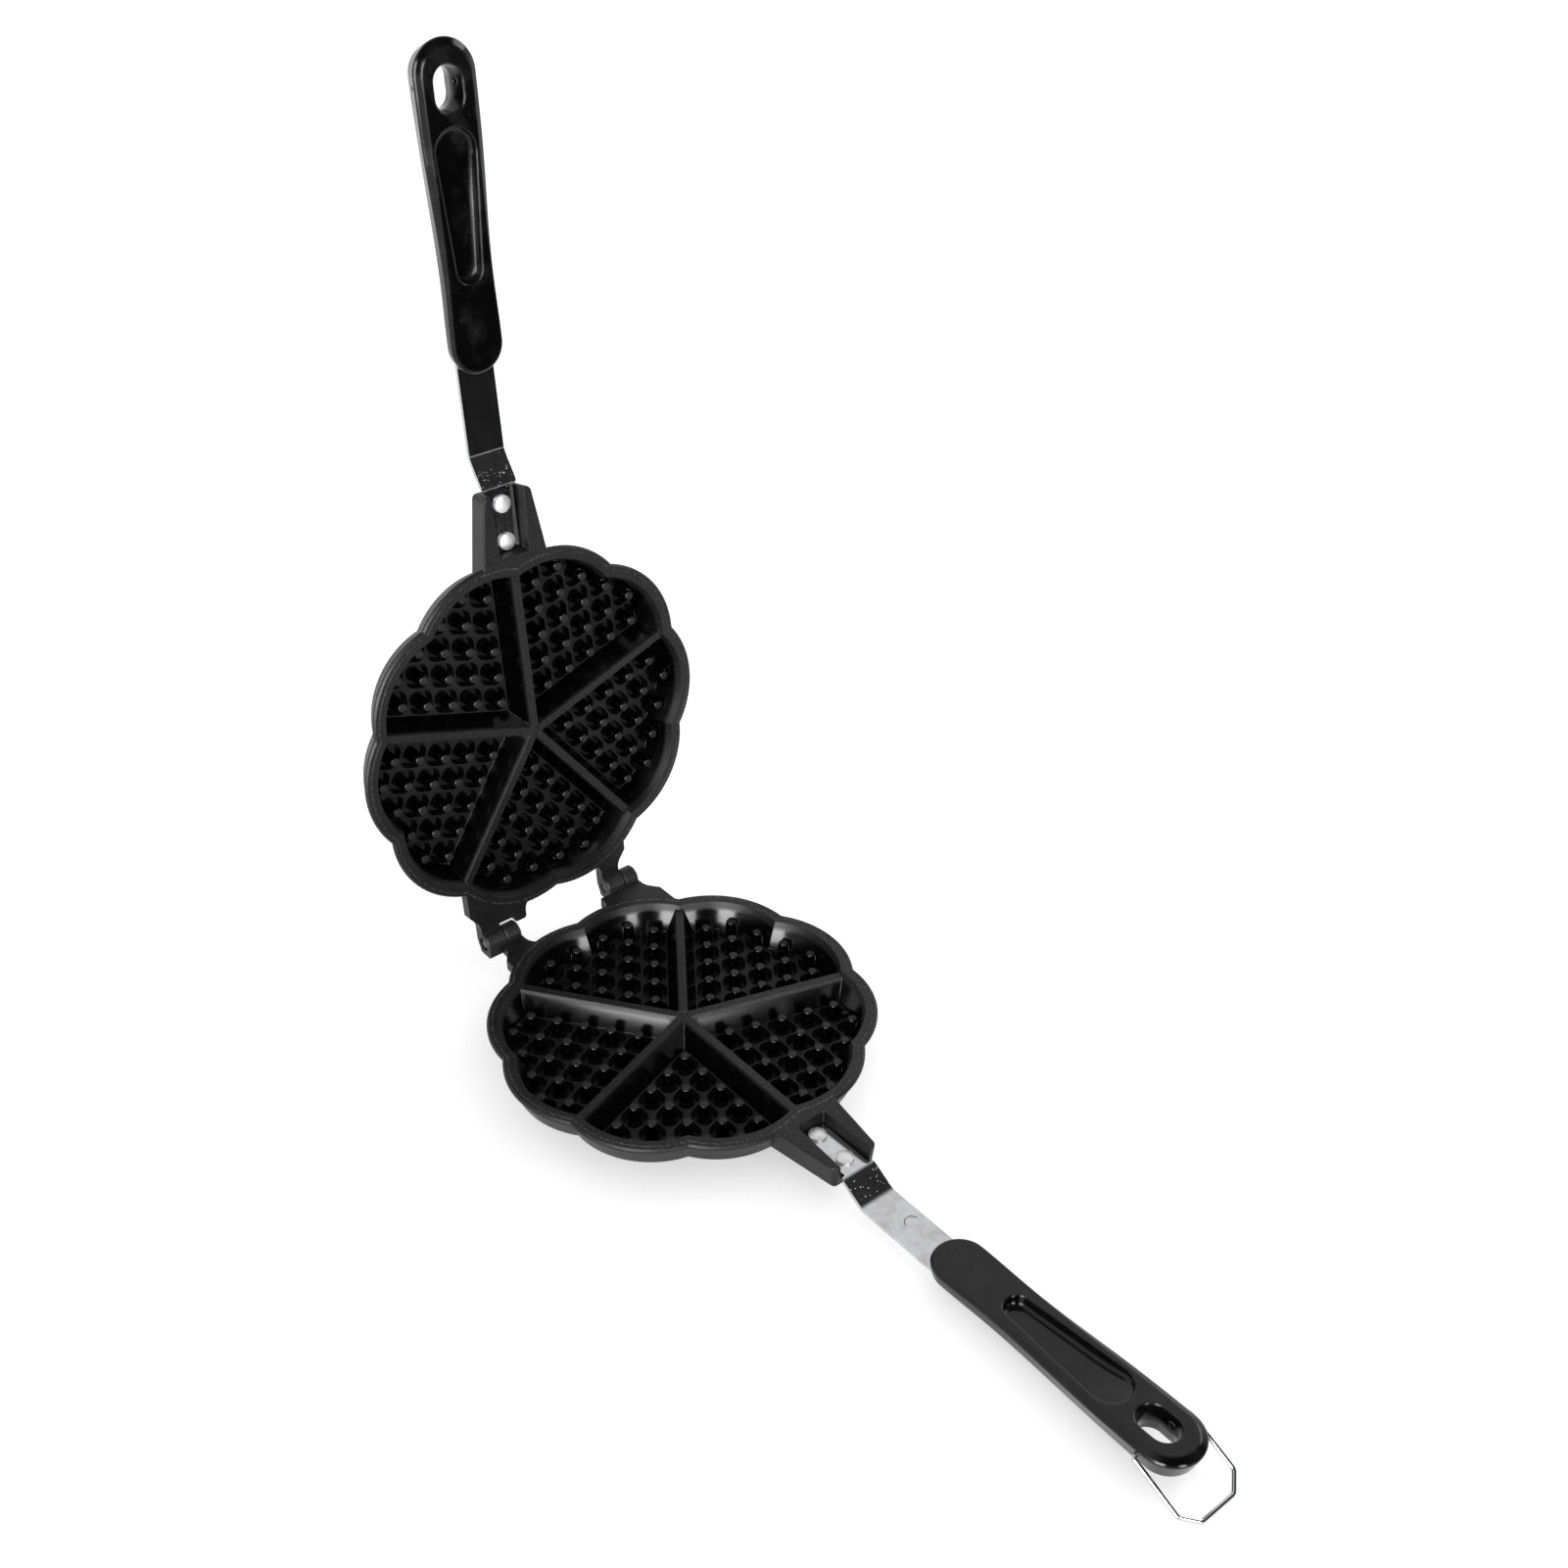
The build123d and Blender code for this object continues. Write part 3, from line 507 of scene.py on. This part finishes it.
def turned_material(name, colour, centre, turn, ring, roughness):
    """Bare or plated metal, turned: a soft sheen with fine rings round an axis through a centre."""
    grain_size, grain_height, ring_height = 0.7 * MM, 0.01 * MM, 0.008 * MM
    material, tree = new_material(name)
    place = add_node(tree, "TexCoord").outputs["Object"]
    moved = add_node(tree, "VectorMath", {0: place, 1: centre}, operation="SUBTRACT")
    level = add_node(tree, "VectorRotate", {"Vector": moved, "Angle": turn}, rotation_type="Y_AXIS")
    across, along = add_node(tree, "SeparateXYZ", {0: level}).outputs[:2]
    radius = length_of(tree, across, along)
    phase = add_node(tree, "Math", {0: radius, 1: 2 * math.pi / ring}, operation="MULTIPLY")
    rings = add_node(tree, "Math", {0: phase}, operation="SINE")
    grain = add_node(tree, "TexNoise", {"Vector": place, "Scale": 1 / grain_size, "Detail": 3})
    gloss = add_node(tree, "MapRange", {
        "Value": grain, "From Min": 0.3, "From Max": 0.7,
        "To Min": roughness - 0.06, "To Max": roughness + 0.08})
    scratched = add_node(tree, "Bump", {"Height": grain, "Distance": grain_height, "Strength": 0.5})
    turned = add_node(tree, "Bump", {
        "Height": rings, "Distance": ring_height, "Strength": 0.7, "Normal": scratched})
    add_surface(tree, {"Base Color": colour, "Metallic": 1, "Roughness": gloss, "Normal": turned})
    return material


def wire_material(finish):
    """Bright drawn spring wire: smooth, with faint draw marks."""
    mark_size, mark_height = 0.6 * MM, 0.006 * MM
    material, tree = new_material("drawn_spring_wire")
    place = add_node(tree, "TexCoord").outputs["Object"]
    marks = add_node(tree, "TexNoise", {"Vector": place, "Scale": 1 / mark_size, "Detail": 3})
    gloss = add_node(tree, "MapRange", {
        "Value": marks, "From Min": 0.3, "From Max": 0.7, "To Min": 0.14, "To Max": 0.24})
    drawn = add_node(tree, "Bump", {"Height": marks, "Distance": mark_height, "Strength": 0.5})
    add_surface(tree, {"Base Color": finish.steel, "Metallic": 1, "Roughness": gloss, "Normal": drawn})
    return material


# ---------------------------------------------------------------- operators


class IRON_OT_castings(bpy.types.Operator):
    """Coat both castings"""
    bl_idname = "iron.castings"
    bl_label = "Castings"

    def execute(self, context):
        for half in HALVES:
            finish_node(f"{half}_plate", coating_material(context.scene.iron_finishes, half))
        return {"FINISHED"}


class IRON_OT_straps(bpy.types.Operator):
    """Plate both straps"""
    bl_idname = "iron.straps"
    bl_label = "Straps"

    def execute(self, context):
        for half in HALVES:
            finish_node(f"{half}_strap", strap_material(context.scene.iron_finishes, half))
        return {"FINISHED"}


class IRON_OT_grips(bpy.types.Operator):
    """Mould both grips"""
    bl_idname = "iron.grips"
    bl_label = "Grips"

    def execute(self, context):
        material = phenolic_material(context.scene.iron_finishes)
        for half in HALVES:
            finish_node(f"{half}_grip", material)
        return {"FINISHED"}


class IRON_OT_fasteners(bpy.types.Operator):
    """Finish the rivets, screws and hinge pins"""
    bl_idname = "iron.fasteners"
    bl_label = "Rivets, screws and pins"

    def execute(self, context):
        finish = context.scene.iron_finishes
        # Real turning marks are finer. These are as coarse as they need to be to show.
        rivet_ring, screw_ring, pin_ring = 1.5 * MM, 0.4 * MM, 0.5 * MM
        rivet_roughness, screw_roughness, pin_roughness = 0.5, 0.35, 0.32
        for half, turn in zip(HALVES, (0, OPEN_ANGLE)):
            for place in ("inner", "outer"):
                node = f"{half}_rivet_{place}"
                low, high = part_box(node)
                finish_node(node, turned_material(
                    f"bright_aluminium_{half}_{place}", finish.aluminium, (low + high) / 2, turn,
                    rivet_ring, rivet_roughness))
            node = f"{half}_grip_screw"
            low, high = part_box(node)
            finish_node(node, turned_material(
                f"zinc_plate_{half}", finish.steel, (low + high) / 2, turn, screw_ring, screw_roughness))
        for side in ("left", "right"):
            node = f"hinge_pin_{side}"
            low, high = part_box(node)
            finish_node(node, turned_material(
                f"oiled_steel_{side}", finish.pin_steel, (low + high) / 2, 0, pin_ring, pin_roughness))
        return {"FINISHED"}


class IRON_OT_latch(bpy.types.Operator):
    """Finish the latch wire"""
    bl_idname = "iron.latch"
    bl_label = "Latch wire"

    def execute(self, context):
        finish_node("latch_wire", wire_material(context.scene.iron_finishes))
        return {"FINISHED"}


def add_sheet(name, place, side, material):
    """A flat square sheet round a place. Nothing else stays selected."""
    bpy.ops.object.select_all(action="DESELECT")
    bpy.ops.mesh.primitive_plane_add(size=side, location=place)
    sheet = bpy.context.active_object
    sheet.name = name
    sheet.data.materials.append(material)
    return sheet


def paper_material(studio):
    """Matt white paper, which glows a little wherever it is seen, mirrored or looked at through glass."""
    material, tree = new_material("white_paper")
    path = add_node(tree, "LightPath").outputs
    seen = add_node(
        tree, "Math", {0: path["Is Camera Ray"], 1: path["Is Glossy Ray"]}, operation="MAXIMUM")
    seen = add_node(tree, "Math", {0: seen, 1: path["Is Transmission Ray"]}, operation="MAXIMUM")
    add_surface(tree, {
        "Base Color": studio.table, "Roughness": MATT, "Specular IOR Level": 0,
        "Emission Color": WHITE, "Emission Strength": overlap(tree, seen, studio.table_glow)})
    return material


def card_material():
    """Matt dark card."""
    material, tree = new_material("far_card")
    add_surface(tree, {"Base Color": srgb("#141415"), "Roughness": MATT, "Specular IOR Level": 0})
    return material


def room_strength(tree, given):
    """White where it is seen, weaker as a light, and dark in gloss on the side that has no lamps."""
    path = add_node(tree, "LightPath").outputs
    direction = add_node(tree, "TexCoord").outputs["Generated"]
    towards = add_node(tree, "VectorMath", {0: direction, 1: DARK_SIDE}, operation="DOT_PRODUCT")
    mirrored = add_node(tree, "MapRange", {
        "Value": towards, "From Min": math.cos(BRIGHT_PAST), "From Max": math.cos(DARK_WITHIN),
        "To Min": 1, "To Max": DARK_STRENGTH})
    in_gloss = overlap(tree, path["Is Glossy Ray"], mirrored)
    out_of_gloss = add_node(tree, "Math", {0: 1, 1: path["Is Glossy Ray"]}, operation="SUBTRACT")
    lit = add_node(
        tree, "Math", {0: in_gloss, 1: overlap(tree, out_of_gloss, given)}, operation="MAXIMUM")
    seen = add_node(
        tree, "Math", {0: path["Is Camera Ray"], 1: path["Is Transmission Ray"]}, operation="MAXIMUM")
    return add_node(tree, "Math", {0: seen, 1: lit}, operation="MAXIMUM")


def add_softbox(name, place, size, target, power):
    """A rectangular area lamp that faces a point."""
    data = bpy.data.lights.new(name, "AREA")
    data.shape = "RECTANGLE"
    data.size, data.size_y = size
    data.energy = power
    lamp = bpy.data.objects.new(name, data)
    bpy.context.scene.collection.objects.link(lamp)
    lamp.location = place
    lamp.rotation_euler = (target - lamp.location).to_track_quat("-Z", "Y").to_euler()
    return lamp


def add_lamps(studio, middle):
    """A softbox that lights the iron, and two strips that only show in its shiny surfaces."""
    add_softbox("softbox", SOFTBOX_PLACE, SOFTBOX_SIZE, middle, studio.key_power)
    for name, place, size, power in (
            ("left_strip", LEFT_STRIP_PLACE, LEFT_STRIP_SIZE, studio.left_strip_power),
            ("right_strip", RIGHT_STRIP_PLACE, RIGHT_STRIP_SIZE, studio.right_strip_power)):
        strip = add_softbox(name, place, size, middle, power)
        strip.visible_diffuse = False


def add_camera(studio):
    """The camera, above the iron and to one side of its lower grip."""
    data = bpy.data.cameras.new("camera")
    data.sensor_width = SENSOR_WIDTH
    data.lens = studio.lens
    data.clip_start = 0.01
    data.clip_end = 100
    camera = bpy.data.objects.new("camera", data)
    bpy.context.scene.collection.objects.link(camera)
    camera.location = studio.camera_place
    camera.rotation_euler = studio.camera_turn
    bpy.context.scene.camera = camera


class IRON_OT_studio(bpy.types.Operator):
    """Set the table, the lights and the camera"""
    bl_idname = "iron.studio"
    bl_label = "Studio"

    def execute(self, context):
        studio = context.scene.iron_studio
        low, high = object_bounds()
        middle = (low + high) / 2
        table = add_sheet("table", (middle.x, middle.y, 0), TABLE_SIDE, paper_material(studio))
        table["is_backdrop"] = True

        world = bpy.data.worlds.new("room")
        context.scene.world = world
        world.use_nodes = True
        tree = world.node_tree
        tree.nodes.clear()
        background = add_node(tree, "Background", {
            "Color": WHITE, "Strength": room_strength(tree, studio.sky_strength)})
        add_node(tree, "OutputWorld", {"Surface": background})

        add_lamps(studio, middle)
        card = add_sheet("far_card", CARD_PLACE, CARD_SIDE, card_material())
        for ray in ("camera", "diffuse", "transmission", "volume_scatter", "shadow"):
            setattr(card, f"visible_{ray}", False)
        card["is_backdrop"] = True

        add_camera(studio)
        context.scene.view_settings.view_transform = "Standard"
        return {"FINISHED"}


class IRON_PT_panel(bpy.types.Panel):
    """Colours, studio settings and steps of the waffle iron"""
    bl_label = "Waffle iron"
    bl_space_type = "VIEW_3D"
    bl_region_type = "UI"
    bl_category = "Waffle iron"

    def draw(self, context):
        for group in (context.scene.iron_finishes, context.scene.iron_studio):
            box = self.layout.box()
            for name in group.__annotations__:
                box.prop(group, name)
        for step in STEPS:
            self.layout.operator(step.bl_idname)


GROUPS = {"iron_finishes": IronFinishes, "iron_studio": IronStudio}
STEPS = (IRON_OT_castings, IRON_OT_straps, IRON_OT_grips, IRON_OT_fasteners, IRON_OT_latch, IRON_OT_studio)


def register():
    for group in (*GROUPS.values(), *STEPS, IRON_PT_panel):
        bpy.utils.register_class(group)
    for name, group in GROUPS.items():
        setattr(bpy.types.Scene, name, bpy.props.PointerProperty(type=group))


def unregister():
    for name in GROUPS:
        delattr(bpy.types.Scene, name)
    for group in reversed((*GROUPS.values(), *STEPS, IRON_PT_panel)):
        bpy.utils.unregister_class(group)


def main():
    """Registers the add-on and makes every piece."""
    register()
    bpy.ops.iron.castings()
    bpy.ops.iron.straps()
    bpy.ops.iron.grips()
    bpy.ops.iron.fasteners()
    bpy.ops.iron.latch()
    bpy.ops.iron.studio()


if __name__ == "__main__":
    main()
